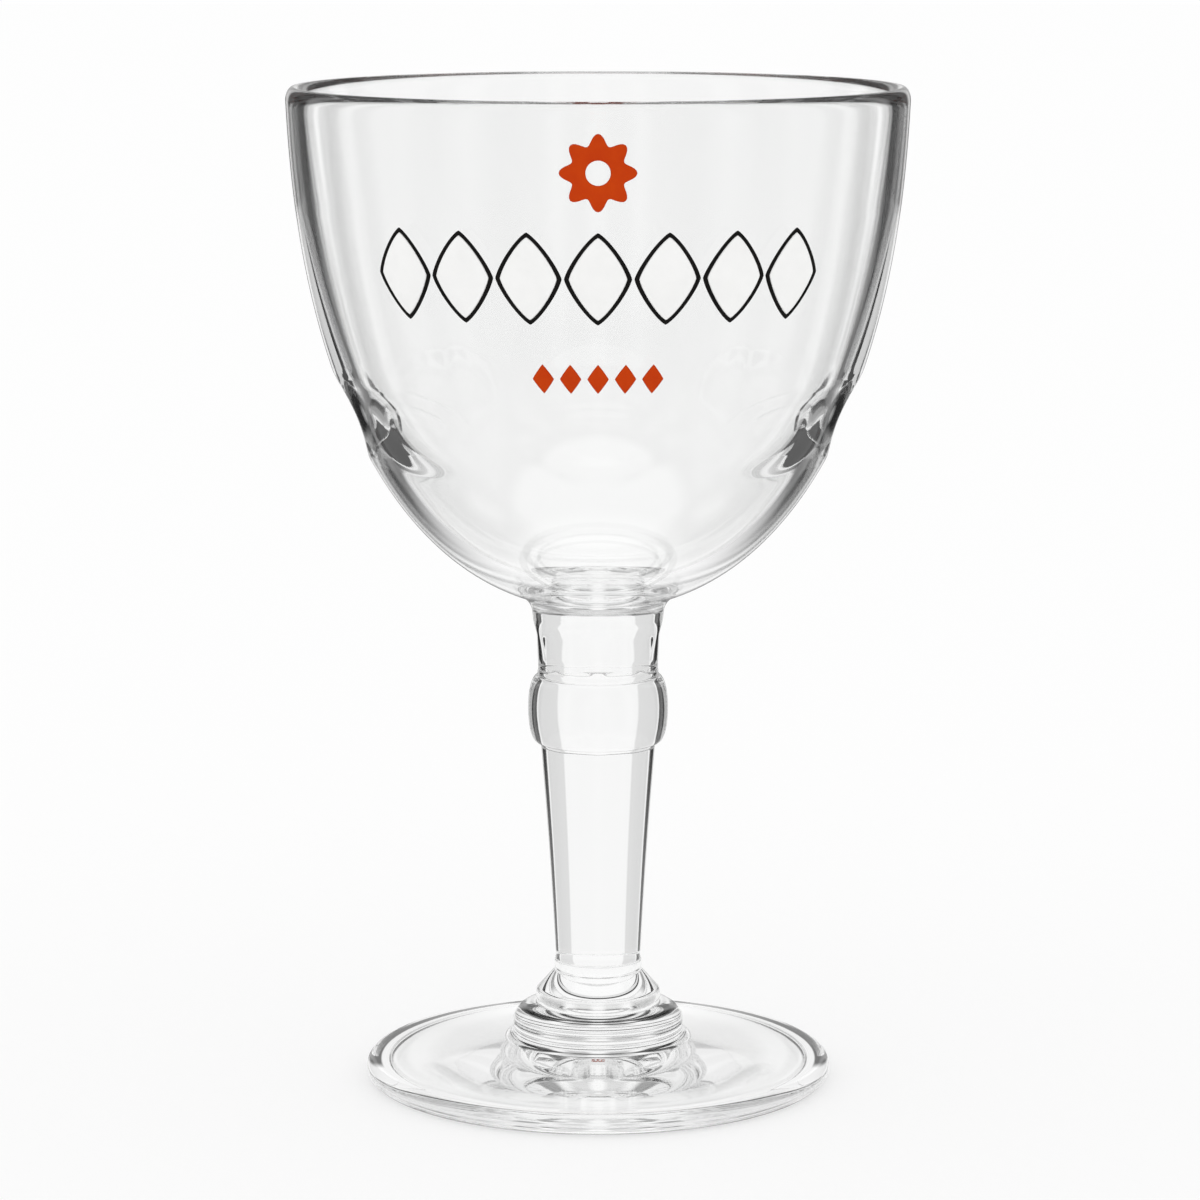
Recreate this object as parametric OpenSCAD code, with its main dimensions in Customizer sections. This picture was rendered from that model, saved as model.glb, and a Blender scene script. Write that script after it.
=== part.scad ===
/* [Bowl] */
// Height of the bowl, from its joint with the stem up to the rim
bowl_h = 93; // [84:1:102]
// Radius that the outer curve of the bowl would reach at its widest
bowl_r = 54.6; // [50:0.1:58]
// Height above the rim at which the curves of the bowl would be widest
curve_rise = 17.9; // [14:0.1:22]
// How square the outer curve is from top to bottom
bowl_fullness = 2.54; // [2.3:0.01:2.8]
// How square the outer curve is from the middle to the side
bowl_roundness = 2.18; // [2:0.01:2.4]
// Thickness of the wall where the curves would be widest
wall_t = 2.4; // [1.8:0.1:3]
// Thickness of the solid glass between the stem and the hollow
floor_t = 6; // [4:0.5:9]
// How square the inner curve is from top to bottom
hollow_fullness = 2.065; // [1.95:0.005:2.2]
// How square the inner curve is from the middle to the side
hollow_roundness = 2.49; // [2.35:0.01:2.7]
// Height of the rounded lip
lip_h = 2.4; // [1.4:0.1:3]
// Radius of the curve that carries the joint out into the bowl
fillet_r = 3.7; // [2.5:0.1:5]

/* [Thumb hollows] */
// Number of thumb hollows round the bowl, which is also the number of sides of the stem
side_count = 8; // [6:1:10]
// Height of a thumb hollow
thumb_h = 14; // [10:0.5:18]
// Depth of a thumb hollow below the straight line between its two edges
thumb_depth = 0.45; // [0.2:0.05:0.9]
// Distance from the rim down to the middle of the thumb hollows
thumb_drop = 57.4; // [54:0.2:60]

/* [Upper stem] */
// Height of the faceted piece under the bowl
upper_stem_h = 10; // [8:0.1:14]
// Radius of the round joint under the bowl
joint_r = 11.6; // [11.2:0.1:13]
// Distance from the axis to the flats at the foot of the upper stem
upper_flat_r = 10.6; // [9.8:0.05:11]
// Height of the slope in which each flat runs out under the joint
runout_h = 2; // [1:0.1:3]

/* [Knop] */
// Height of the knop
knop_h = 12; // [9:0.1:15]
// Radius of the knop
knop_r = 12.4; // [11.8:0.1:14]
// How square the knop is in profile
knop_fullness = 2.2; // [2:0.1:4]
// Height of the neck ring on top of the knop
neck_h = 1; // [0.6:0.1:2]
// Radius of the neck ring
neck_r = 10.6; // [9.8:0.1:11]

/* [Lower stem] */
// Height of the tapered stem
lower_stem_h = 39.4; // [30:0.1:50]
// Distance from the axis to the flats at the top of the tapered stem
lower_flat_top_r = 10.1; // [8.8:0.05:10.4]
// Distance from the axis to the flats at the foot of the tapered stem
lower_flat_foot_r = 7.6; // [6.5:0.05:8.4]
// Radius across the rounded corners, as a share of the distance to the flats
corner_share = 1.049; // [1.02:0.001:1.075]

/* [Collar] */
// Height of the bead at the foot of the stem
bead_h = 2; // [1:0.1:3]
// Radius of the bead
bead_r = 7.85; // [7:0.05:9]
// Height of the cone between the bead and the ring
cone_h = 3.6; // [2.5:0.1:5]
// Height of the ring
ring_h = 2.6; // [1.5:0.1:4]
// Radius of the ring
ring_r = 11.15; // [10:0.05:12.5]
// Height of the drum under the ring
drum_h = 6.2; // [4:0.1:8]
// Radius of the drum
drum_r = 15.2; // [14:0.1:16.5]
// Height of the flare at the foot of the drum
flare_h = 3.2; // [1.5:0.1:3.6]
// Width of the flare at the foot of the drum
flare_w = 1.8; // [1:0.1:3]
// Depth of the grooves on either side of the ring and the bead
groove = 0.25; // [0.1:0.05:0.5]

/* [Foot] */
// Radius of the foot
foot_r = 41.6; // [38:0.1:46]
// Height of the foot where the collar stands on it
foot_h = 7.2; // [5.5:0.1:9]
// Thickness of the foot where its rounded edge begins
foot_edge_t = 4; // [3:0.1:5]
// Width of the rounded edge of the foot
foot_edge_w = 2.4; // [1.5:0.1:3.5]
// Width of the flat ring that rests on the table
rest_w = 2; // [1:0.1:4]
// Height of the shallow hollow under the foot
hollow_h = 2; // [0.5:0.1:2.5]

/* [Enamel] */
// Thickness of the fired enamel
print_t = 0.2; // [0.15:0.01:0.4]
// Width of the orange rosette
emblem_w = 12.8; // [9:0.1:15]
// Number of petals of the rosette
petal_count = 8; // [5:1:12]
// Distance from the rim down to the middle of the rosette
emblem_drop = 11.5; // [10:0.5:13]
// Height of the white lozenges, with their black line
lozenge_h = 15.4; // [10:0.1:17]
// Width of the white lozenges, with their black line
lozenge_w = 11.2; // [8:0.1:11.4]
// Width of the black line round each lozenge
outline_w = 0.8; // [0.5:0.05:1.2]
// Number of lozenges in the band
lozenge_count = 7; // [3:2:7]
// Distance round the bowl from one lozenge to the next
lozenge_pitch = 11.6; // [11.5:0.1:14]
// Distance from the rim down to the middle of the band
band_drop = 29; // [27:0.5:31]
// Height of the small diamonds under the band
diamond_h = 5; // [3:0.1:6]
// Width of the small diamonds
diamond_w = 3.6; // [2:0.1:4]
// Number of small diamonds
diamond_count = 5; // [3:2:7]
// Distance round the bowl from one small diamond to the next
diamond_pitch = 4.6; // [4.2:0.1:6]
// Distance from the rim down to the small diamonds
diamond_drop = 45.9; // [44:0.1:48]

/* [Hidden] */
$fn = 96;
arc_steps = 8;
curve_steps = 28;
petal_steps = 8;
petal_dip_share = 0.28;
petal_eye_share = 0.16;
lozenge_side_share = 0.6;

// Levels of the joints, from the table up
bead_top_z = foot_h + drum_h + ring_h + cone_h + bead_h;
cone_top_z = bead_top_z - bead_h;
ring_top_z = cone_top_z - cone_h;
drum_top_z = ring_top_z - ring_h;
knop_foot_z = bead_top_z + lower_stem_h;
knop_top_z = knop_foot_z + knop_h;
upper_stem_z = knop_top_z + neck_h;
joint_z = upper_stem_z + upper_stem_h;
rim_z = joint_z + bowl_h;
widest_z = rim_z + curve_rise;

// Points of an arc of an ellipse, from one angle to another
function arc(cr, cz, wide, tall, from, to) = [
    for (i = [0 : arc_steps])
        let (a = from + (to - from) * i / arc_steps)
            [cr + wide * cos(a), cz + tall * sin(a)]
];

// Depth below the widest level, as a share of the reach, at which a curve has radius r
function curve_share(r, widest, fullness, roundness) =
    pow(1 - pow(r / widest, roundness), 1 / fullness);

// Radius of a curve at a height
function curve_r(z, widest, reach, fullness, roundness) =
    widest * pow(1 - pow((widest_z - z) / reach, fullness), 1 / roundness);

// Points of a curve between two heights, close together where the curve turns fast
function curve(z0, z1, widest, reach, fullness, roundness) =
    let (
        a0 = asin(pow((widest_z - z0) / reach, fullness / 2)),
        a1 = asin(pow((widest_z - z1) / reach, fullness / 2))
    ) [
        for (i = [0 : curve_steps])
            let (a = a0 + (a1 - a0) * i / curve_steps)
                [widest * pow(cos(a), 2 / roundness), widest_z - reach * pow(sin(a), 2 / fullness)]
    ];

// The fillet turns through this angle from upright before it meets the outer curve
fillet_turn = 67;
fillet_end_r = joint_r + fillet_r * (1 - cos(fillet_turn));
fillet_end_z = joint_z + fillet_r * sin(fillet_turn);
bowl_reach = (widest_z - fillet_end_z)
    / curve_share(fillet_end_r, bowl_r, bowl_fullness, bowl_roundness);
hollow_widest_r = bowl_r - wall_t;
hollow_reach = widest_z - joint_z - floor_t;
lip_z = rim_z - lip_h;

function outer_r(z) = curve_r(z, bowl_r, bowl_reach, bowl_fullness, bowl_roundness);

outer_points = concat(
    arc(joint_r + fillet_r, joint_z, -fillet_r, fillet_r, 0, fillet_turn),
    curve(fillet_end_z, lip_z, bowl_r, bowl_reach, bowl_fullness, bowl_roundness)
);
inner_points = curve(lip_z, joint_z + floor_t, hollow_widest_r, hollow_reach,
                     hollow_fullness, hollow_roundness);
lip_outer_r = outer_points[len(outer_points) - 1][0];
lip_inner_r = inner_points[0][0];
lip_mid_r = (lip_outer_r + lip_inner_r) / 2;

// A thumb hollow is cut by a cylinder that lies level against the bowl
thumb_z = rim_z - thumb_drop;
thumb_low_r = outer_r(thumb_z - thumb_h / 2);
thumb_high_r = outer_r(thumb_z + thumb_h / 2);
thumb_chord = norm([thumb_high_r - thumb_low_r, thumb_h]);
thumb_cutter_r = (pow(thumb_chord / 2, 2) + pow(thumb_depth, 2)) / (2 * thumb_depth);
thumb_out = thumb_cutter_r - thumb_depth;
thumb_axis_r = (thumb_low_r + thumb_high_r) / 2 + thumb_out * thumb_h / thumb_chord;
thumb_axis_z = thumb_z - thumb_out * (thumb_high_r - thumb_low_r) / thumb_chord;

// The round cup: its outside, its rounded lip and its hollow are one outline
module cup() {
    rotate_extrude()
        polygon(concat(
            [[0, joint_z]],
            outer_points,
            arc(lip_mid_r, lip_z, lip_outer_r - lip_mid_r, lip_h, 0, 180),
            inner_points
        ));
}

module thumb_cutter() {
    translate([thumb_axis_r, 0, thumb_axis_z])
        rotate([90, 0, 0])
            cylinder(r = thumb_cutter_r, h = 2 * thumb_low_r, center = true);
}

module bowl() {
    color([0.9, 0.95, 0.95, 0.4])
        difference() {
            cup();
            for (i = [0 : side_count - 1])
                rotate([0, 0, 90 + 360 * i / side_count])
                    thumb_cutter();
        }
}

// Cuts a flat on each side of a stem; the outline gives the flat's distance from the axis
// at each height, and the far radius is where the cutter ends outside the stem
module side_flats(outline, far_r) {
    low_z = outline[0][1];
    high_z = outline[len(outline) - 1][1];
    for (i = [0 : side_count - 1])
        rotate([0, 0, 90 + 360 * i / side_count])
            rotate([90, 0, 0])
                linear_extrude(height = 2 * far_r, center = true)
                    polygon(concat(outline, [[far_r, high_z], [far_r, low_z]]));
}

// The faceted piece between the knop and the bowl; each flat runs out in an arc near its top
upper_corner_r = upper_flat_r * corner_share;

module upper_stem() {
    color([0.88, 0.94, 0.94, 0.4])
        difference() {
            rotate_extrude()
                polygon([
                    [0, upper_stem_z],
                    [neck_r, upper_stem_z],
                    [upper_corner_r, upper_stem_z + neck_h],
                    [joint_r, joint_z],
                    [0, joint_z]
                ]);
            side_flats([
                [upper_flat_r, upper_stem_z],
                [upper_flat_r, joint_z - 2 * runout_h],
                [joint_r, joint_z - runout_h / 2]
            ], 2 * joint_r);
        }
}

// The round knop, with the neck ring on top of it
knop_mid_z = (knop_foot_z + knop_top_z) / 2;
knop_steps = 2 * arc_steps;

module knop() {
    color([0.86, 0.93, 0.93, 0.4])
        rotate_extrude()
            polygon(concat(
                [[0, knop_foot_z]],
                [
                    for (i = [0 : knop_steps])
                        let (a = 180 * i / knop_steps - 90)
                            [neck_r + (knop_r - neck_r) * pow(abs(cos(a)), 2 / knop_fullness),
                             knop_mid_z + knop_h / 2 * sign(a) * pow(abs(sin(a)), 2 / knop_fullness)]
                ],
                [[neck_r, upper_stem_z], [0, upper_stem_z]]
            ));
}

// The tapered stem: a cone with a flat on each side, so that its corners are rounded
module lower_stem() {
    color([0.88, 0.94, 0.94, 0.4])
        difference() {
            rotate_extrude()
                polygon([
                    [0, bead_top_z],
                    [lower_flat_foot_r * corner_share, bead_top_z],
                    [lower_flat_top_r * corner_share, knop_foot_z - neck_h],
                    [lower_flat_top_r, knop_foot_z],
                    [0, knop_foot_z]
                ]);
            side_flats([
                [lower_flat_foot_r, bead_top_z],
                [lower_flat_top_r, knop_foot_z]
            ], 2 * lower_flat_top_r);
        }
}

// The turned rings between the stem and the foot: drum, ring, cone and bead
module collar() {
    ring_groove_r = ring_r - groove;
    bead_groove_r = bead_r - groove;
    color([0.86, 0.93, 0.93, 0.4])
        rotate_extrude()
            polygon(concat(
                [[0, foot_h]],
                arc(drum_r + flare_w, foot_h + flare_h, flare_w, flare_h, 270, 180),
                arc(ring_groove_r, foot_h + flare_h, drum_r - ring_groove_r,
                    drum_h - flare_h, 0, 90),
                arc(ring_groove_r, (drum_top_z + ring_top_z) / 2, groove, ring_h / 2, -90, 90),
                arc(bead_groove_r, (cone_top_z + bead_top_z) / 2, groove, bead_h / 2, -90, 90),
                [[0, bead_top_z]]
            ));
}

// The wide disc, rounded at its edge and shallowly hollow underneath
module foot() {
    edge_mid_r = foot_r - foot_edge_w;
    edge_mid_z = foot_edge_t / 2;
    hollow_r = edge_mid_r - rest_w;
    color([0.9, 0.95, 0.95, 0.4])
        rotate_extrude()
            polygon(concat(
                [[0, foot_h], [drum_r + flare_w, foot_h]],
                arc(edge_mid_r, edge_mid_z, foot_edge_w, edge_mid_z, 90, -90),
                arc(0, 0, hollow_r, hollow_h, 0, 90)
            ));
}

// A thin layer of enamel over the outside of the bowl, cut to a flat outline that is
// drawn in millimetres round and up, at an angle round the bowl and a height
module enamel(turn, z) {
    intersection() {
        difference() {
            enamel_blank(print_t);
            enamel_blank(0);
        }
        rotate([0, 0, turn])
            translate([0, 0, z])
                rotate([90, 0, 0])
                    linear_extrude(height = 2 * bowl_r)
                        children();
    }
}

module enamel_blank(thickness) {
    rotate_extrude()
        polygon(concat(
            [[0, joint_z]],
            [for (p = outer_points) [p[0] + thickness, p[1]]],
            [[0, lip_z]]
        ));
}

// Angle round the bowl that covers a distance along it at a height
function turn_of(distance, z) = distance / outer_r(z) * 180 / PI;

// A pointed lozenge with bowed sides
module lozenge(w, h) {
    side = lozenge_side_share / 2;
    polygon([
        [w / 2, 0], [w * side, h * side], [0, h / 2], [-w * side, h * side],
        [-w / 2, 0], [-w * side, -h * side], [0, -h / 2], [w * side, -h * side]
    ]);
}

// The orange rosette under the rim
module rosette() {
    steps = petal_count * petal_steps;
    difference() {
        polygon([
            for (i = [0 : steps - 1])
                let (a = 360 * i / steps,
                     r = emblem_w / 2 * (1 - petal_dip_share * (1 - cos(petal_count * a)) / 2))
                    [r * sin(a), r * cos(a)]
        ]);
        circle(r = emblem_w * petal_eye_share);
    }
}

module emblem_print() {
    color([0.78, 0.26, 0.05])
        enamel(0, rim_z - emblem_drop)
            rosette();
}

band_z = rim_z - band_drop;
diamond_z = rim_z - diamond_drop;

module band(count, pitch, z) {
    for (i = [0 : count - 1])
        enamel(turn_of(pitch * (i - (count - 1) / 2), z), z)
            children();
}

module band_fill_print() {
    color([0.95, 0.95, 0.93])
        band(lozenge_count, lozenge_pitch, band_z)
            lozenge(lozenge_w - 2 * outline_w, lozenge_h - 2 * outline_w);
}

module band_outline_print() {
    color([0.05, 0.05, 0.05])
        band(lozenge_count, lozenge_pitch, band_z)
            difference() {
                lozenge(lozenge_w, lozenge_h);
                lozenge(lozenge_w - 2 * outline_w, lozenge_h - 2 * outline_w);
            }
}

module diamond_print() {
    color([0.78, 0.26, 0.05])
        band(diamond_count, diamond_pitch, diamond_z)
            polygon([[diamond_w / 2, 0], [0, diamond_h / 2], [-diamond_w / 2, 0], [0, -diamond_h / 2]]);
}

bowl();
upper_stem();
knop();
lower_stem();
collar();
foot();
emblem_print();
band_fill_print();
band_outline_print();
diamond_print();
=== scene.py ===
import math

import bpy
import numpy as np
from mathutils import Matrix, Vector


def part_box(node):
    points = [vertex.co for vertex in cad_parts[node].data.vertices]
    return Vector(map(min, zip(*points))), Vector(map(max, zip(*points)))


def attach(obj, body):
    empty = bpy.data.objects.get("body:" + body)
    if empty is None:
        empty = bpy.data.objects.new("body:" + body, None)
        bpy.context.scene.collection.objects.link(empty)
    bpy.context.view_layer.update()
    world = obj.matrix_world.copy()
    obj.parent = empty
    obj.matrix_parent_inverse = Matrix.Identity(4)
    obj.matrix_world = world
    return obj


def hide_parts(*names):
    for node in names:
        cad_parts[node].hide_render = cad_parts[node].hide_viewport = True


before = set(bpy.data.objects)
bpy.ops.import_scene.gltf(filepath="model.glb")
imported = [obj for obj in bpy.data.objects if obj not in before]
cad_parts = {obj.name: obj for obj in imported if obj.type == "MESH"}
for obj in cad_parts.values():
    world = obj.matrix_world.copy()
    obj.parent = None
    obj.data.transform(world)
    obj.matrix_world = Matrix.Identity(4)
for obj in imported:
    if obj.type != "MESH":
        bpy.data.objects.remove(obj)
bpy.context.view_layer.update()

# Bowl. The real bowl is pressed and blown soda glass, thick at its base and about 2.7 mm at the
# rim, with a fire-polished rounded lip. Its outside, lip and hollow are one skin, open only where
# the upper stem is fused to it, so that light crosses the whole glass as it does one body.
mm = 0.001
sectors = 288
theta = np.arange(sectors) * 2 * math.pi / sectors
front = -math.pi / 2

joint_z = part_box("bowl")[0].z
rim_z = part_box("bowl")[1].z
bowl_r = 54.6 * mm
widest_z = rim_z + 17.9 * mm
bowl_fullness = 2.54
bowl_roundness = 2.18
wall_t = 2.4 * mm
base_t = 6 * mm
hollow_r = bowl_r - wall_t
hollow_floor_z = joint_z + base_t
hollow_fullness = 2.065
hollow_roundness = 2.49
lip_h = 2.4 * mm
joint_r = 11.6 * mm
fillet_r = 3.7 * mm
fillet_turn = math.radians(67)


def arc(cr, cz, wide, tall, start, end, steps):
    """Points (radius, height) of an arc of an ellipse, from one angle in degrees to another."""
    angles = np.radians(np.linspace(start, end, steps + 1))
    return [(cr + wide * math.cos(a), cz + tall * math.sin(a)) for a in angles]


def line(start, end, steps):
    """Points of a straight stretch, without its first point."""
    return [
        (start[0] + (end[0] - start[0]) * i / steps, start[1] + (end[1] - start[1]) * i / steps)
        for i in range(1, steps + 1)
    ]


def curve_r(z, widest_r, reach, fullness, roundness):
    """Radius at a height of a curve that is widest above the rim and closes at the bottom."""
    depth = np.clip((widest_z - z) / reach, 0, 1)
    return widest_r * (1 - depth**fullness) ** (1 / roundness)


fillet_end_r = joint_r + fillet_r * (1 - math.cos(fillet_turn))
fillet_end_z = joint_z + fillet_r * math.sin(fillet_turn)
bowl_reach = (widest_z - fillet_end_z) / (
    1 - (fillet_end_r / bowl_r) ** bowl_roundness
) ** (1 / bowl_fullness)
hollow_reach = widest_z - hollow_floor_z


def outside_r(z):
    return curve_r(z, bowl_r, bowl_reach, bowl_fullness, bowl_roundness)


def inside_r(z):
    return curve_r(z, hollow_r, hollow_reach, hollow_fullness, hollow_roundness)


def skin(name, rows, node):
    """A skin round the axis from rows of (radius at each sector, height). Rows run up the outside,
    or down it if the last row is the lower, and a last row of radius 0 is one point on the axis."""
    to_axis = np.max(rows[-1][0]) == 0
    rings = rows[:-1] if to_axis else rows
    co = np.empty((len(rings), sectors, 3))
    for i, (radius, z) in enumerate(rings):
        co[i, :, 0] = radius * np.cos(theta)
        co[i, :, 1] = radius * np.sin(theta)
        co[i, :, 2] = z
    points = co.reshape(-1, 3).tolist()
    faces = []
    for i in range(len(rings) - 1):
        for k in range(sectors):
            a, b = i * sectors + k, i * sectors + (k + 1) % sectors
            faces.append((a, b, b + sectors, a + sectors))
    if to_axis:
        points.append((0, 0, float(rows[-1][1])))
        last = (len(rings) - 1) * sectors
        for k in range(sectors):
            faces.append((last + k, last + (k + 1) % sectors, len(points) - 1))
    if rows[-1][1] < rows[0][1]:
        faces = [face[::-1] for face in faces]
    mesh = bpy.data.meshes.new(name)
    mesh.from_pydata(points, [], faces)
    mesh.validate()
    for polygon in mesh.polygons:
        polygon.use_smooth = True
    piece = bpy.data.objects.new(name, mesh)
    bpy.context.scene.collection.objects.link(piece)
    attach(piece, "root")
    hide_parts(node)
    return piece


# The pressed relief of the bowl: long shallow flutes that fade out towards the rim, and under them
# a ring of round thumb hollows.
flute_count = 6
flute_depth = 0.8 * mm
flute_top_z = rim_z - 20 * mm
flute_foot_z = rim_z - 50.4 * mm
flute_end_z = rim_z - 65 * mm
thumb_count = 8
thumb_mid_z = rim_z - 57.4 * mm
thumb_half_h = 8 * mm
thumb_half_turn = math.radians(19)
thumb_depth = 1.3 * mm


def from_nearest(count):
    """Angle of each sector from the middle of the nearest of some equal panels round the axis."""
    step = 2 * math.pi / count
    return (theta - front + step / 2) % step - step / 2


def relief(z):
    """How far the outside of the bowl is pressed in at each sector, at a height."""
    half = math.pi / flute_count
    rise = np.clip((flute_top_z - z) / (flute_top_z - flute_foot_z), 0, 1)
    if z < flute_foot_z:
        rise = np.clip((z - flute_end_z) / (flute_foot_z - flute_end_z), 0, 1)
    across = np.cos(from_nearest(flute_count)) - math.cos(half)
    flutes = flute_depth * rise * across / (1 - math.cos(half))
    away = (from_nearest(thumb_count) / thumb_half_turn) ** 2
    away = away + ((z - thumb_mid_z) / thumb_half_h) ** 2
    press = np.clip(1 - away, 0, 1)
    thumbs = thumb_depth * press * press * (3 - 2 * press)
    return flutes + thumbs


plain_rows = 14
flute_rows = 50
thumb_rows = 60
base_rows = 34
fillet_steps = 10
lip_steps = 16
hollow_rows = 90
lip_z = rim_z - lip_h
lip_out_r = outside_r(lip_z)
lip_in_r = inside_r(lip_z)
lip_mid_r = (lip_out_r + lip_in_r) / 2
outside_levels = np.concatenate([
    np.linspace(lip_z, flute_top_z, plain_rows),
    np.linspace(flute_top_z, flute_foot_z, flute_rows)[1:],
    np.linspace(flute_foot_z, flute_end_z, thumb_rows)[1:],
])
outside_rows = [(outside_r(z) - relief(z), z) for z in outside_levels]
low_r = outside_r(flute_end_z)
for share in np.linspace(0, 1, base_rows)[1:]:
    r = low_r + (fillet_end_r - low_r) * share
    z = widest_z - bowl_reach * (1 - (r / bowl_r) ** bowl_roundness) ** (1 / bowl_fullness)
    outside_rows.append((np.full(sectors, r), z))
fillet = arc(
    joint_r + fillet_r, joint_z, -fillet_r, fillet_r, math.degrees(fillet_turn), 0, fillet_steps
)
for r, z in fillet[1:]:
    outside_rows.append((np.full(sectors, r), z))
lip_rows = [
    (np.full(sectors, r), z)
    for r, z in arc(lip_mid_r, lip_z, lip_out_r - lip_mid_r, lip_h, 180, 0, lip_steps)
]
inside_rows = []
for share in np.linspace(0, 1, hollow_rows)[:-1]:
    z = lip_z - (lip_z - hollow_floor_z) * math.sin(share * math.pi / 2)
    inside_rows.append((np.full(sectors, inside_r(z)), z))
inside_rows.append((np.zeros(sectors), hollow_floor_z))
bowl = skin(
    "bowl_glass",
    outside_rows[::-1] + lip_rows[::-1][1:-1] + inside_rows,
    "bowl",
)


# Fire polishing leaves the glass smooth but very faintly wavy, which shows as soft drifting lines
# in what is seen through the walls.
wave_detail = 1.5
wave_stretch = (1, 1, 0.2)
wave_strength = 0.2
glass_colour = (0.99, 0.992, 0.99, 1)
glass_ior = 1.5
bowl_wave_size, bowl_wave_h = 75, 0.1 * mm
polish = bpy.data.node_groups.new("fire_polish", "ShaderNodeTree")
polish.interface.new_socket("Size", in_out="INPUT", socket_type="NodeSocketFloat")
polish.interface.new_socket("Height", in_out="OUTPUT", socket_type="NodeSocketFloat")
polish_in = polish.nodes.new("NodeGroupInput")
polish_out = polish.nodes.new("NodeGroupOutput")
where = polish.nodes.new("ShaderNodeTexCoord")
stretch = polish.nodes.new("ShaderNodeMapping")
stretch.inputs["Scale"].default_value = wave_stretch
waves = polish.nodes.new("ShaderNodeTexNoise")
waves.inputs["Detail"].default_value = wave_detail
polish.links.new(where.outputs["Object"], stretch.inputs["Vector"])
polish.links.new(stretch.outputs["Vector"], waves.inputs["Vector"])
polish.links.new(polish_in.outputs["Size"], waves.inputs["Scale"])
polish.links.new(waves.outputs["Fac"], polish_out.inputs["Height"])


def clear_glass(name, wave_size, wave_height):
    """Clear glass, smooth but for its waves."""
    glass = bpy.data.materials.new(name)
    glass.use_nodes = True
    tree = glass.node_tree
    shader = tree.nodes["Principled BSDF"]
    shader.inputs["Base Color"].default_value = glass_colour
    shader.inputs["Roughness"].default_value = 0.0
    shader.inputs["IOR"].default_value = glass_ior
    shader.inputs["Transmission Weight"].default_value = 1
    waves = tree.nodes.new("ShaderNodeGroup")
    waves.node_tree = polish
    waves.inputs["Size"].default_value = wave_size
    bump = tree.nodes.new("ShaderNodeBump")
    bump.inputs["Strength"].default_value = wave_strength
    bump.inputs["Distance"].default_value = wave_height
    tree.links.new(waves.outputs["Height"], bump.inputs["Height"])
    tree.links.new(bump.outputs["Normal"], shader.inputs["Normal"])
    return glass


bowl.data.materials.append(clear_glass("bowl_glass", bowl_wave_size, bowl_wave_h))


# Upper stem. A short pressed piece of the same clear glass, fused under the bowl. It has eight
# very soft flats, and each runs out just below the joint, where the piece turns round again.
side_count = 8
corner_share = 1.008
corner_blend = 0.25 * mm
upper_foot_z, upper_top_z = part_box("upper_stem")[0].z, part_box("upper_stem")[1].z
upper_flat_r = 10.6 * mm
upper_spread = 1.5
flat_lean = 0.3 * mm
runout_drop = 4 * mm
runout_h = 3 * mm
runout_w = 0.9 * mm
neck_r = 10.6 * mm
neck_h = 1 * mm
upper_levels = 46
neck_steps = 6
stem_wave_size, stem_wave_h = 110, 0.14 * mm


def flatted(r, z, flat_r):
    """A row that is round but for a flat on each side, with the corners between them eased."""
    flat = flat_r / np.cos(from_nearest(side_count))
    h = np.clip(0.5 + 0.5 * (flat - r) / corner_blend, 0, 1)
    eased = flat + (r - flat) * h - corner_blend * h * (1 - h)
    return (np.minimum(eased, r), z)


def upper_round_r(z):
    share = (z - upper_foot_z) / (upper_top_z - upper_foot_z)
    low = upper_flat_r * corner_share
    return low + (joint_r - low) * share**upper_spread


def upper_flats(z):
    rise = np.clip((z - upper_foot_z) / (upper_top_z - upper_foot_z), 0, 1)
    run = np.clip((z - (upper_top_z - runout_drop)) / runout_h, 0, 1)
    return upper_flat_r + flat_lean * rise + runout_w * run**2


upper_rows = []
for z in np.linspace(upper_foot_z + neck_h, upper_top_z, upper_levels):
    upper_rows.append(flatted(upper_round_r(z), z, upper_flats(z)))
for i in range(1, neck_steps + 1):
    share = i / neck_steps
    z = upper_foot_z + neck_h * (1 - share)
    r = upper_rows[0][0] + (neck_r - upper_rows[0][0]) * math.sin(share * math.pi / 2)
    upper_rows.insert(0, (r, z))
upper_stem = skin("upper_stem_glass", upper_rows, "upper_stem")
stem_glass = clear_glass("stem_glass", stem_wave_size, stem_wave_h)
upper_stem.data.materials.append(stem_glass)


# Knop. The round swelling between the two stems, pressed in one mould with them from the same
# clear glass, with a thin neck ring on top of it.
knop_foot_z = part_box("knop")[0].z
knop_top_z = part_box("knop")[1].z - neck_h
knop_r = 12.4 * mm
knop_fullness = 2.2
knop_levels = 60
neck_ring_w = 0.12 * mm
neck_ring_steps = 8
knop_mid_z = (knop_foot_z + knop_top_z) / 2
knop_rows = []
for angle in np.linspace(-90, 90, knop_levels):
    a = math.radians(angle)
    r = neck_r + (knop_r - neck_r) * max(math.cos(a), 0) ** (2 / knop_fullness)
    rise = math.copysign(abs(math.sin(a)) ** (2 / knop_fullness), a)
    z = knop_mid_z + (knop_top_z - knop_foot_z) / 2 * rise
    knop_rows.append((np.full(sectors, r), z))
neck_ring = arc(
    neck_r, knop_top_z + neck_h / 2, neck_ring_w, neck_h / 2, -90, 90, neck_ring_steps
)
for r, z in neck_ring[1:]:
    knop_rows.append((np.full(sectors, r), z))
knop = skin("knop_glass", knop_rows, "knop")
knop.data.materials.append(stem_glass)


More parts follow.
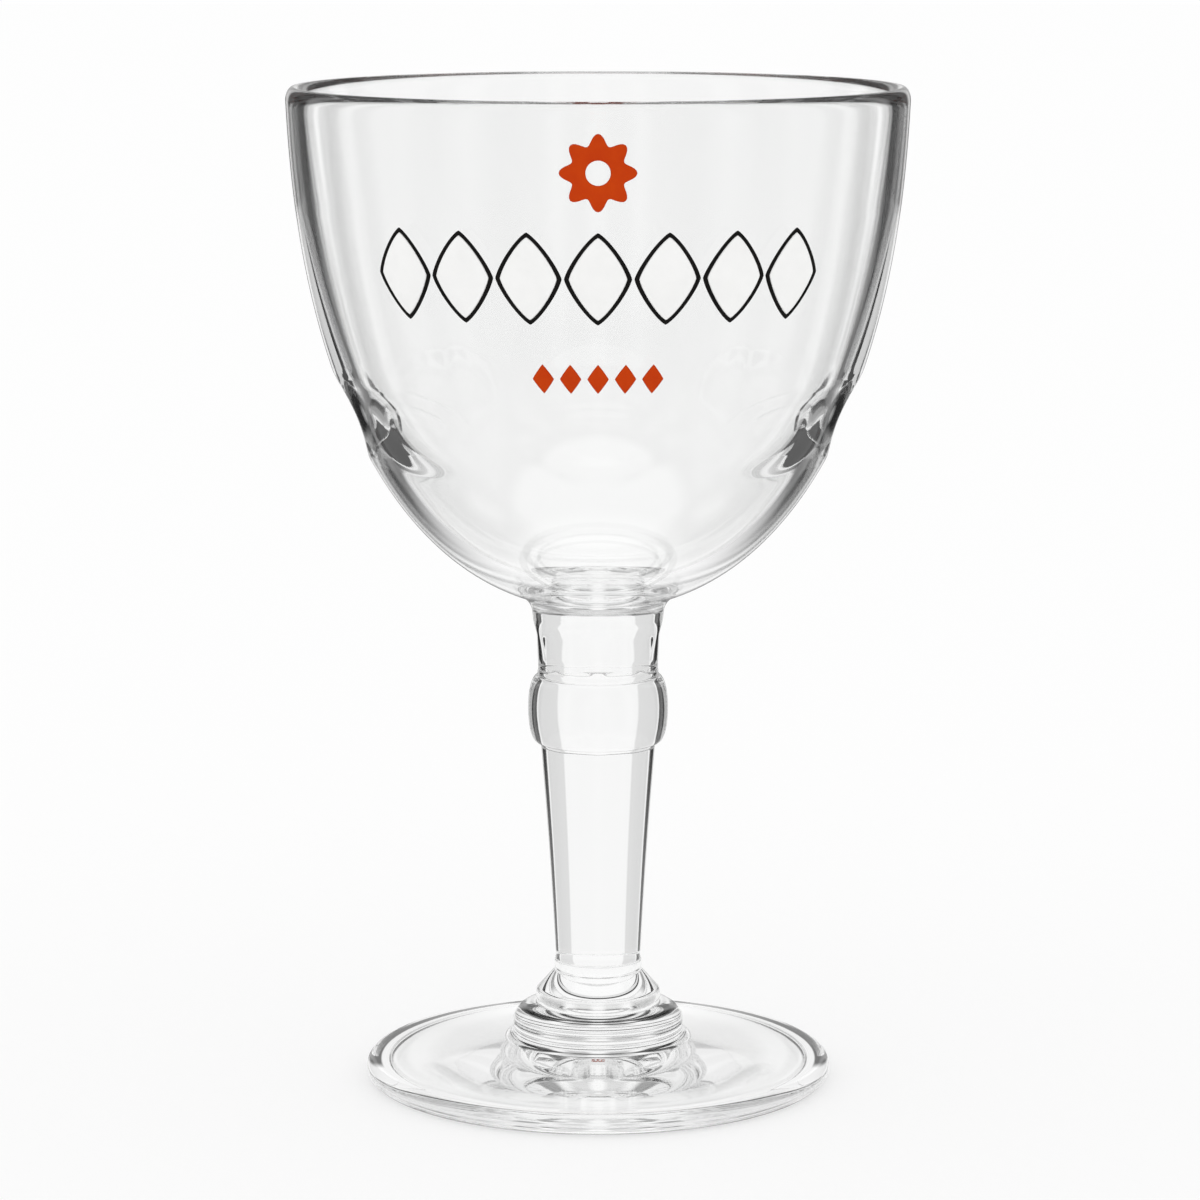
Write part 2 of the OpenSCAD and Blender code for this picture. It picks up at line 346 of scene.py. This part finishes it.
# Lower stem. The long pressed taper of clear glass from the knop down to the collar, with eight
# very soft flats in line with those above the knop. It is drawn in a little halfway down.
taper_foot_z, taper_top_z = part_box("lower_stem")[0].z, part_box("lower_stem")[1].z
taper_top_flat_r = 10.1 * mm
taper_foot_flat_r = 7.6 * mm
taper_bow = 0.16 * mm
taper_levels = 40
taper_rows = []
for z in np.linspace(taper_foot_z, taper_top_z - neck_h, taper_levels):
    share = (z - taper_foot_z) / (taper_top_z - neck_h - taper_foot_z)
    flat_r = taper_foot_flat_r + (taper_top_flat_r - taper_foot_flat_r) * share
    flat_r -= taper_bow * math.sin(math.pi * share)
    taper_rows.append(flatted(flat_r * corner_share, z, flat_r))
taper_end = taper_rows[-1][0]
for i in range(1, neck_steps + 1):
    share = i / neck_steps
    z = taper_top_z - neck_h * (1 - share)
    r = taper_end + (neck_r - taper_end) * (1 - math.cos(share * math.pi / 2))
    taper_rows.append((r, z))
lower_stem = skin("lower_stem_glass", taper_rows, "lower_stem")
lower_stem.data.materials.append(stem_glass)


# Collar. Rings of clear glass between the stem and the foot, pressed in the mould as if turned: a
# bead, a cone, a ring and a drum that flares out onto the foot, with fine grooves between them.
collar_foot_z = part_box("collar")[0].z
bead_h, bead_r = 2 * mm, 7.85 * mm
cone_h = 3.6 * mm
ring_h, ring_r = 2.6 * mm, 11.15 * mm
drum_h, drum_r = 6.2 * mm, 15.2 * mm
flare_h, flare_w = 3.2 * mm, 1.8 * mm
groove = 0.25 * mm
flare_steps = 12
drum_steps = 20
ring_steps = 12
cone_steps = 12
bead_steps = 10
drum_top_z = collar_foot_z + drum_h
ring_top_z = drum_top_z + ring_h
cone_top_z = ring_top_z + cone_h
flare_z = collar_foot_z + flare_h
ring_side_r = ring_r - groove
bead_side_r = bead_r - groove
flare = arc(drum_r + flare_w, flare_z, flare_w, flare_h, 270, 180, flare_steps)
drum = arc(ring_side_r, flare_z, drum_r - ring_side_r, drum_h - flare_h, 0, 90, drum_steps)
ring = arc(ring_side_r, drum_top_z + ring_h / 2, groove, ring_h / 2, -90, 90, ring_steps)
cone = line((ring_side_r, ring_top_z), (bead_side_r, cone_top_z), cone_steps)
bead = arc(bead_side_r, cone_top_z + bead_h / 2, groove, bead_h / 2, -90, 90, bead_steps)
collar_line = flare + drum[1:] + ring[1:] + cone + bead[1:]
collar = skin(
    "collar_glass",
    [(np.full(sectors, r), z) for r, z in collar_line],
    "collar",
)
collar.data.materials.append(stem_glass)


# Foot. A wide disc of clear glass, pressed, with a fully rounded, fire-polished edge. It stands on
# a narrow ring, and inside that ring its underside is shallowly hollow.
foot_top_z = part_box("foot")[1].z
foot_r = 41.6 * mm
foot_edge_t, foot_edge_w = 4 * mm, 2.4 * mm
rest_w = 2 * mm
under_h = 2 * mm
top_steps = 24
edge_steps = 28
rest_steps = 3
under_steps = 50
foot_wave_size, foot_wave_h = 60, 0.14 * mm
edge_mid_r = foot_r - foot_edge_w
foot_inner = (drum_r + flare_w, foot_top_z)
foot_edge = arc(edge_mid_r, foot_edge_t / 2, foot_edge_w, foot_edge_t / 2, 90, -90, edge_steps)
foot_line = [foot_inner] + line(foot_inner, foot_edge[0], top_steps) + foot_edge[1:]
foot_line += line(foot_line[-1], (edge_mid_r - rest_w, 0), rest_steps)
foot_line += arc(0, 0, edge_mid_r - rest_w, under_h, 0, 90, under_steps)[1:-1]
foot_rows = [(np.full(sectors, r), z) for r, z in foot_line] + [(np.zeros(sectors), under_h)]
foot = skin("foot_glass", foot_rows, "foot")
foot.data.materials.append(clear_glass("foot_glass", foot_wave_size, foot_wave_h))


# Enamel rosette. Orange enamel, screen printed on the outside of the bowl under the rim and fired
# on, so that it stands a fifth of a millimetre proud and its edges have rounded over.
print_t = 0.2 * mm
print_sunk = 0.02 * mm
print_edge_w = 0.25 * mm
edge_share_max = 0.45
edge_rows = ((0, 0.35), (0.4, 0.85), (1, 1))
filled_rows = (0.02, 0.4)
outline_steps = 96
emblem_z = rim_z - 11.5 * mm
emblem_r = 6.4 * mm
petal_count = 8
petal_dip_share = 0.28
petal_eye_share = 0.32


def enamel(name, motifs, node, material):
    """Thin closed pieces laid on the bowl. A motif is an angle round the bowl, a height, and the
    inner and outer outlines, which are drawn flat as arrays of (across, up) of like length. An
    inner outline that is all 0 gives a filled motif. Edge rows are (share of the edge's width,
    share of the thickness)."""
    points, faces = [], []
    for turn, middle_z, inner, outer in motifs:
        width = np.linalg.norm(outer - inner, axis=1)
        edge = np.minimum(print_edge_w / width, edge_share_max)[:, None]
        holed = np.max(np.abs(inner)) > 0
        if holed:
            rows = [(inward * edge, height) for inward, height in edge_rows]
        else:
            rows = [(share + 0 * edge, 1) for share in filled_rows]
        rows += [(1 - inward * edge, height) for inward, height in edge_rows[::-1]]
        rows += [(share, -print_sunk / print_t) for share, height in rows[::-1]]
        first = len(points)
        for share, height in rows:
            flat = inner + (outer - inner) * share
            for across, up in flat:
                z = middle_z + up
                surface_r = outside_r(z)
                angle = front + turn + math.asin(across / surface_r)
                sector = int(round(angle / (2 * math.pi) * sectors)) % sectors
                r = surface_r - relief(z)[sector] + height * print_t
                points.append((r * math.cos(angle), r * math.sin(angle), z))
        count = len(outer)
        closing = len(rows) if holed else len(rows) - 1
        for i in range(closing):
            for k in range(count):
                a, b = first + i * count, first + (i + 1) % len(rows) * count
                faces.append((a + k, b + k, b + (k + 1) % count, a + (k + 1) % count))
        if not holed:
            last = first + (len(rows) - 1) * count
            faces.append(tuple(first + k for k in range(count)))
            faces.append(tuple(last + k for k in range(count))[::-1])
    mesh = bpy.data.meshes.new(name)
    mesh.from_pydata(points, [], faces)
    mesh.validate()
    for polygon in mesh.polygons:
        polygon.use_smooth = True
    piece = bpy.data.objects.new(name, mesh)
    bpy.context.scene.collection.objects.link(piece)
    piece.data.materials.append(material)
    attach(piece, "root")
    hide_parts(node)
    return piece


# What firing does to enamel: the colour settles in soft clouds, the gloss drifts with them, and
# the fine grains of the print stay as a slight unevenness.
cloud_size = 260
cloud_detail = 3
grains_per_cloud = 9
grain_detail = 2
grain_strength = 0.3
grain_h = 0.02 * mm
enamel_ior = 1.5
enamel_specular = 0.1
firing = bpy.data.node_groups.new("fired_enamel", "ShaderNodeTree")
firing.interface.new_socket("Size", in_out="INPUT", socket_type="NodeSocketFloat")
firing.interface.new_socket("Clouds", in_out="OUTPUT", socket_type="NodeSocketFloat")
firing.interface.new_socket("Height", in_out="OUTPUT", socket_type="NodeSocketFloat")
firing_in = firing.nodes.new("NodeGroupInput")
firing_out = firing.nodes.new("NodeGroupOutput")
where = firing.nodes.new("ShaderNodeTexCoord")
clouds = firing.nodes.new("ShaderNodeTexNoise")
clouds.inputs["Detail"].default_value = cloud_detail
grain_size = firing.nodes.new("ShaderNodeMath")
grain_size.operation = "MULTIPLY"
grain_size.inputs[1].default_value = grains_per_cloud
grains = firing.nodes.new("ShaderNodeTexNoise")
grains.inputs["Detail"].default_value = grain_detail
for texture in (clouds, grains):
    firing.links.new(where.outputs["Object"], texture.inputs["Vector"])
firing.links.new(firing_in.outputs["Size"], clouds.inputs["Scale"])
firing.links.new(firing_in.outputs["Size"], grain_size.inputs[0])
firing.links.new(grain_size.outputs[0], grains.inputs["Scale"])
firing.links.new(clouds.outputs["Fac"], firing_out.inputs["Clouds"])
firing.links.new(grains.outputs["Fac"], firing_out.inputs["Height"])


def fired_enamel(name, thin, thick, gloss, dull):
    """Enamel whose colour goes from thin to thick and whose roughness from gloss to dull."""
    material = bpy.data.materials.new(name)
    material.use_nodes = True
    tree = material.node_tree
    shader = tree.nodes["Principled BSDF"]
    shader.inputs["IOR"].default_value = enamel_ior
    shader.inputs["Specular IOR Level"].default_value = enamel_specular
    fired = tree.nodes.new("ShaderNodeGroup")
    fired.node_tree = firing
    fired.inputs["Size"].default_value = cloud_size
    colours = tree.nodes.new("ShaderNodeMix")
    colours.data_type = "RGBA"
    colours.inputs["A"].default_value = thin + (1,)
    colours.inputs["B"].default_value = thick + (1,)
    tree.links.new(fired.outputs["Clouds"], colours.inputs["Factor"])
    tree.links.new(colours.outputs["Result"], shader.inputs["Base Color"])
    shine = tree.nodes.new("ShaderNodeMapRange")
    shine.inputs["To Min"].default_value = gloss
    shine.inputs["To Max"].default_value = dull
    tree.links.new(fired.outputs["Clouds"], shine.inputs["Value"])
    tree.links.new(shine.outputs["Result"], shader.inputs["Roughness"])
    bump = tree.nodes.new("ShaderNodeBump")
    bump.inputs["Strength"].default_value = grain_strength
    bump.inputs["Distance"].default_value = grain_h
    tree.links.new(fired.outputs["Height"], bump.inputs["Height"])
    tree.links.new(bump.outputs["Normal"], shader.inputs["Normal"])
    return material


colour_gloss, colour_dull = 0.3, 0.45
orange_thin = (0.62, 0.062, 0.0)
orange_thick = (0.5, 0.03, 0.0)
orange = fired_enamel("orange_enamel", orange_thin, orange_thick, colour_gloss, colour_dull)
around = np.arange(outline_steps) * 2 * math.pi / outline_steps
upright = np.column_stack([np.sin(around), np.cos(around)])
petals = emblem_r * (1 - petal_dip_share * (1 - np.cos(petal_count * around)) / 2)
enamel(
    "rosette_enamel",
    [(0, emblem_z, upright * emblem_r * petal_eye_share, upright * petals[:, None])],
    "emblem_print",
    orange,
)


# Enamel band. A row of white lozenges with bowed sides, each inside a black line that is printed
# in the same firing and meets it edge to edge.
band_z = rim_z - 29 * mm
lozenge_h = 15.4 * mm
lozenge_w = 11.2 * mm
outline_w = 0.8 * mm
lozenge_count = 7
lozenge_pitch = 11.6 * mm
lozenge_bow = 1.25
white_thin, white_thick = (0.97, 0.97, 0.96), (0.9, 0.9, 0.89)
black_thin, black_thick = (0.014, 0.013, 0.012), (0.006, 0.006, 0.006)
black_gloss, black_dull = 0.2, 0.35


def lozenge(width, height, bow):
    """Outline of a lozenge; a bow of 1 has straight sides and 2 is an ellipse."""
    across = np.sign(upright[:, 0]) * np.abs(upright[:, 0]) ** (2 / bow)
    up = np.sign(upright[:, 1]) * np.abs(upright[:, 1]) ** (2 / bow)
    return np.column_stack([across * width / 2, up * height / 2])


def row_of(count, pitch, z, inner, outer):
    """Like motifs side by side round the front of the bowl, at a height."""
    turn = pitch / outside_r(z)
    return [(turn * (i - (count - 1) / 2), z, inner, outer) for i in range(count)]


whole = lozenge(lozenge_w, lozenge_h, lozenge_bow)
within = lozenge(lozenge_w - 2 * outline_w, lozenge_h - 2 * outline_w, lozenge_bow)
white_enamel = fired_enamel("white_enamel", white_thin, white_thick, colour_gloss, colour_dull)
black_enamel = fired_enamel("black_enamel", black_thin, black_thick, black_gloss, black_dull)
enamel(
    "band_fill_enamel",
    row_of(lozenge_count, lozenge_pitch, band_z, 0 * within, within),
    "band_fill_print",
    white_enamel,
)
enamel(
    "band_outline_enamel",
    row_of(lozenge_count, lozenge_pitch, band_z, within, whole),
    "band_outline_print",
    black_enamel,
)


# Enamel diamonds. A short row of small diamonds under the band, in the orange of the rosette,
# printed and fired with it. Their sides are nearly straight.
diamond_z = rim_z - 45.9 * mm
diamond_h = 5 * mm
diamond_w = 3.6 * mm
diamond_count = 5
diamond_pitch = 4.6 * mm
diamond_bow = 1.08
diamond = lozenge(diamond_w, diamond_h, diamond_bow)
enamel(
    "diamond_enamel",
    row_of(diamond_count, diamond_pitch, diamond_z, 0 * diamond, diamond),
    "diamond_print",
    orange,
)


# Studio. A plain white sweep under soft light. The camera and the lit surfaces see it white. Only
# what a glass surface has bent or reflected sees the strips of dark card at its sides and above,
# which draw the dark lines along the edges of the glass.
camera_pixels = 1200
focal_pixels = 4452
axis_pixel = 598.05
pitch = math.radians(9.45)
camera_y = -0.7776
camera_z = 0.2158
sensor_width = 36
camera_data = bpy.data.cameras.new("camera")
camera_data.sensor_width = sensor_width
camera_data.lens = sensor_width * focal_pixels / camera_pixels
camera_data.shift_x = (camera_pixels / 2 - axis_pixel) / camera_pixels
camera = bpy.data.objects.new("camera", camera_data)
camera.location = (0, camera_y, camera_z)
camera.rotation_euler = (math.pi / 2 - pitch, 0, 0)
bpy.context.scene.collection.objects.link(camera)
bpy.context.scene.camera = camera

# Brightness of the cards and of the room, where 1 is white. Stops of the cards at the sides are
# (degrees away from straight ahead or behind, level): what shows through the glass, and what is
# reflected in it.
dark_level = 0.02
streak_level = 0.16
sweep_level = 0.78
far_side_level = 0.7
last_side_level = 0.75
seen_stops = (
    (23.5, 1),
    (25, sweep_level),
    (46, sweep_level),
    (47, 1),
    (48.7, 1),
    (50, dark_level),
    (62, dark_level),
    (65, far_side_level),
    (84, last_side_level),
    (88, 1),
)
mirrored_stops = (
    (18, 1),
    (22, streak_level),
    (29, streak_level),
    (32, dark_level),
    (44, dark_level),
    (49, 1),
    (57, 1),
    (61, dark_level),
    (70, dark_level),
    (75, 1),
)
room_stops = ((0.1, 0.3), (0.7, 1))
trapped_from, trapped_to, trapped_level = 2, 5, 0.9
spent_from, spent_to, spent_level = 9, 12, 0.1
both_walls = 2.5
bowl_level = 0.75
bowl_glare = 1.03
white = (1, 1, 1, 1)
black = (0, 0, 0, 1)


def grey(level):
    return (level, level, level, 1)


def put(tree, operation, a, b=None):
    """A Math node; a and b are numbers or sockets."""
    node = tree.nodes.new("ShaderNodeMath")
    node.operation = operation
    for socket, value in zip(node.inputs, (a, b)):
        if isinstance(value, (int, float)):
            socket.default_value = value
        elif value is not None:
            tree.links.new(value, socket)
    return node.outputs[0]


def going(tree, value, start, end, first=0, last=1):
    """A Map Range node that goes from first to last while the value goes from start to end."""
    node = tree.nodes.new("ShaderNodeMapRange")
    node.inputs["From Min"].default_value = start
    node.inputs["From Max"].default_value = end
    node.inputs["To Min"].default_value = first
    node.inputs["To Max"].default_value = last
    tree.links.new(value, node.inputs["Value"])
    return node.outputs["Result"]


def grey_ramp(tree, value, stops, start=0, end=1):
    """A colour ramp of greys over stops of (value, level). A ramp holds only 256 steps, so narrow
    stops need a start and an end close round them."""
    node = tree.nodes.new("ShaderNodeValToRGB")
    tree.links.new(value, node.inputs["Fac"])
    elements = node.color_ramp.elements
    elements.remove(elements[1])
    places = [(place - start) / (end - start) for place, level in stops]
    elements[0].position = places[0]
    for place in places[1:]:
        elements.new(place)
    for element, (place, level) in zip(elements, stops):
        element.color = grey(level)
    return node.outputs["Color"]


def mixed(tree, share, a, b, kind="MIX"):
    """A Mix node for colours; share, a and b are numbers, colours or sockets."""
    node = tree.nodes.new("ShaderNodeMix")
    node.data_type = "RGBA"
    node.blend_type = kind
    for name, value in (("Factor", share), ("A", a), ("B", b)):
        if isinstance(value, (int, float, tuple)):
            node.inputs[name].default_value = value
        else:
            tree.links.new(value, node.inputs[name])
    return node.outputs["Result"]


def strips(tree, direction, narrow_level, lifted=0):
    """The brightness of the sides in a direction from the glass. Light that was reflected sees
    the mirrored cards, a narrow card at the given level nearly straight ahead or behind, and a
    dimmer room in front; where it is lifted, from 0 to 1, it sees over the cards. Light trapped
    for some reflections comes out nearly white, and after many more it is spent."""
    axes = tree.nodes.new("ShaderNodeSeparateXYZ")
    tree.links.new(direction, axes.inputs[0])
    x = put(tree, "ABSOLUTE", axes.outputs["X"])
    y = put(tree, "ABSOLUTE", axes.outputs["Y"])
    turn = put(tree, "MULTIPLY", put(tree, "ARCTAN2", x, y), 2 / math.pi)
    narrow_stops = ((2, 1), (5, narrow_level), (11, narrow_level), (15, 1))
    sides = grey_ramp(tree, turn, seen_stops, 0, 90)
    mirrored = grey_ramp(tree, turn, narrow_stops + mirrored_stops, 0, 90)

    unit = tree.nodes.new("ShaderNodeVectorMath")
    unit.operation = "NORMALIZE"
    tree.links.new(direction, unit.inputs[0])
    unit_axes = tree.nodes.new("ShaderNodeSeparateXYZ")
    tree.links.new(unit.outputs[0], unit_axes.inputs[0])
    room = grey_ramp(tree, unit_axes.outputs["Y"], room_stops)
    first = mixed(tree, 1, mixed(tree, lifted, mirrored, white), room, "MULTIPLY")

    path = tree.nodes.new("ShaderNodeLightPath")
    turns = path.outputs["Glossy Depth"]
    trapped = going(tree, turns, trapped_from, trapped_to)
    spent = going(tree, turns, spent_from, spent_to)
    later = mixed(tree, trapped, first, grey(trapped_level))
    later = mixed(tree, spent, later, grey(spent_level))

    crossed = put(tree, "GREATER_THAN", path.outputs["Transmission Depth"], both_walls)
    lifted_sides = mixed(tree, 1, sides, grey(bowl_level), "LIGHTEN")
    through_bowl = mixed(tree, 1, lifted_sides, grey(bowl_glare), "MULTIPLY")
    behind = mixed(tree, crossed, sides, through_bowl)
    return mixed(tree, put(tree, "MINIMUM", turns, 1), behind, later)


def looked_through(tree):
    """1 for rays that a glass surface has bent or reflected, 0 for the others."""
    path = tree.nodes.new("ShaderNodeLightPath")
    return put(tree, "MAXIMUM", path.outputs["Is Glossy Ray"], path.outputs["Is Transmission Ray"])


# The world. Two cards hang above the glass and draw the fine lines of its lip and rings; light
# that was reflected three times or more doesn't see them. Stops are (height of direction, level).
few_turns = 2.5
one_turn = 0.5
haze_level = 0.6
card_level = 0.04
ceiling_level = 0.9
ceiling_loss = 0.15
above_stops = (
    (0.45, 1),
    (0.5, card_level),
    (0.56, card_level),
    (0.6, ceiling_level),
    (0.7, ceiling_level),
    (0.74, card_level),
    (0.8, card_level),
    (0.85, ceiling_level),
)
ceiling_stops = ((0.8, 0), (0.85, ceiling_level))
world = bpy.data.worlds.new("studio")
world.use_nodes = True
bpy.context.scene.world = world
tree = world.node_tree
direction = tree.nodes.new("ShaderNodeTexCoord").outputs["Generated"]
axes = tree.nodes.new("ShaderNodeSeparateXYZ")
tree.links.new(direction, axes.inputs[0])
path = tree.nodes.new("ShaderNodeLightPath")
above = grey_ramp(tree, axes.outputs["Z"], above_stops)
few = put(tree, "LESS_THAN", path.outputs["Glossy Depth"], few_turns)
low = mixed(tree, few, strips(tree, direction, haze_level), above, "MULTIPLY")
high = grey_ramp(tree, axes.outputs["Z"], ceiling_stops)
bounced = put(tree, "GREATER_THAN", path.outputs["Glossy Depth"], one_turn)
ceiling = mixed(tree, put(tree, "MULTIPLY", bounced, ceiling_loss), high, black)
around = mixed(tree, 1, low, ceiling, "LIGHTEN")
seen = mixed(tree, looked_through(tree), white, around)
tree.links.new(seen, tree.nodes["Background"].inputs["Color"])


# The floor of the sweep. Near the glass it is clear of cards. Two narrow dark rings are painted
# shadow: one under the rounded edge of the foot, and one beside it for reflected light. They stand
# for the foot's contact shadow and draw the outline of the foot. To the camera it is white paper,
# mixed with some glow so that it keeps the glass's soft shadow.
floor_half = 6
paper_level = 0.97
camera_glow = 0.6
cards_clear_r, cards_full_r = 0.045, 0.07
mirror_clear_r, mirror_full_r = 0.09, 0.25
edge_level = 0.16
# Level and (radius, level) stops of the two rings of painted shadow round the foot.
shadow_ring_level = 0.06
shadow_rings_start_r, shadow_rings_end_r = 0.036, 0.056
under_shadow_ring = ((0.0385, 1), (0.0388, shadow_ring_level), (0.0406, shadow_ring_level), (0.0408, 1))
beside_shadow_ring = ((0.0475, 1), (0.0478, shadow_ring_level), (0.0535, shadow_ring_level), (0.054, 1))
mesh = bpy.data.meshes.new("floor")
corners = [(-1, -1), (1, -1), (1, 1), (-1, 1)]
mesh.from_pydata([(x * floor_half, y * floor_half, 0) for x, y in corners], [], [(0, 1, 2, 3)])
floor = bpy.data.objects.new("floor", mesh)
bpy.context.scene.collection.objects.link(floor)
paper = bpy.data.materials.new("white_sweep")
paper.use_nodes = True
tree = paper.node_tree
tree.nodes.remove(tree.nodes["Principled BSDF"])
diffuse = tree.nodes.new("ShaderNodeBsdfDiffuse")
diffuse.inputs["Color"].default_value = grey(paper_level)
place = tree.nodes.new("ShaderNodeNewGeometry").outputs["Position"]
length = tree.nodes.new("ShaderNodeVectorMath")
length.operation = "LENGTH"
tree.links.new(place, length.inputs[0])
from_axis = length.outputs["Value"]
far = going(tree, from_axis, cards_clear_r, cards_full_r)
near = going(tree, from_axis, mirror_clear_r, mirror_full_r, 1, 0)
through = looked_through(tree)
cards = strips(tree, place, edge_level, near)
seen = mixed(tree, put(tree, "MULTIPLY", through, far), white, cards)

# Painted shadow: these dark rings on the floor stand for the foot's contact shadow. Only light that
# the glass has bent or reflected sees them.
shadow_rings_reach = going(tree, from_axis, shadow_rings_start_r, shadow_rings_end_r)
under = grey_ramp(tree, shadow_rings_reach, under_shadow_ring, shadow_rings_start_r, shadow_rings_end_r)
beside = grey_ramp(tree, shadow_rings_reach, beside_shadow_ring, shadow_rings_start_r, shadow_rings_end_r)
path = tree.nodes.new("ShaderNodeLightPath")
bounced = put(tree, "GREATER_THAN", path.outputs["Glossy Depth"], one_turn)
shade = mixed(tree, bounced, under, beside, "MULTIPLY")
shaded = mixed(tree, 1, seen, shade, "MULTIPLY")
glow = tree.nodes.new("ShaderNodeEmission")
tree.links.new(mixed(tree, through, seen, shaded), glow.inputs["Color"])
camera_share = put(tree, "MULTIPLY", path.outputs["Is Camera Ray"], camera_glow)
blend = tree.nodes.new("ShaderNodeMixShader")
tree.links.new(put(tree, "MAXIMUM", through, camera_share), blend.inputs["Fac"])
tree.links.new(diffuse.outputs[0], blend.inputs[1])
tree.links.new(glow.outputs[0], blend.inputs[2])
tree.links.new(blend.outputs[0], tree.nodes["Material Output"].inputs["Surface"])
floor.data.materials.append(paper)

# Light is piped along the lip and the foot by many reflections, so rays may turn that often.
ray_turns = 64
scene = bpy.context.scene
scene.view_settings.view_transform = "Standard"
scene.cycles.max_bounces = ray_turns
scene.cycles.transmission_bounces = ray_turns
scene.cycles.glossy_bounces = ray_turns
